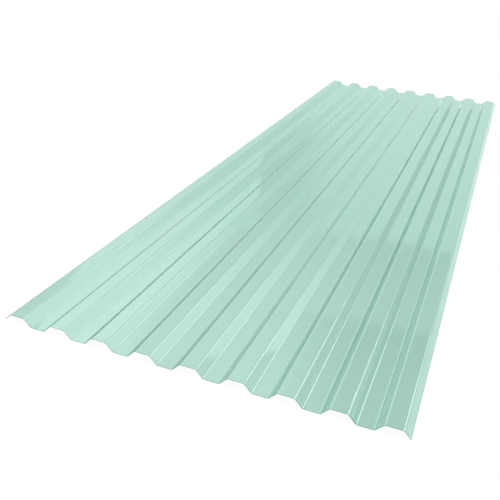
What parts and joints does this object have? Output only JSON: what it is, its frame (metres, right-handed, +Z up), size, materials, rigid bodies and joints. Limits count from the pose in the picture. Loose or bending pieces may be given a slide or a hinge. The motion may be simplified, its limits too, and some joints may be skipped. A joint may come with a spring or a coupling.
{
  "type": "corrugated plastic roofing sheet",
  "caption": "Long translucent green plastic roofing sheet, formed into flat-topped waves that carry rain to its ends and lap over the next sheet at its side edges.",
  "frame": {"origin": "middle of the sheet's footprint, on the floor that its valleys lie on", "axes": "+X across the waves, +Y along the waves, +Z up, away from the floor"},
  "size_m": [0.6568, 2, 0.0143],
  "materials": {
    "tinted_sheet": "glossy tinted translucent plastic"
  },
  "bodies": {
    "root": {"corrugated_sheet": "tinted_sheet"}
  },
  "joints": []
}
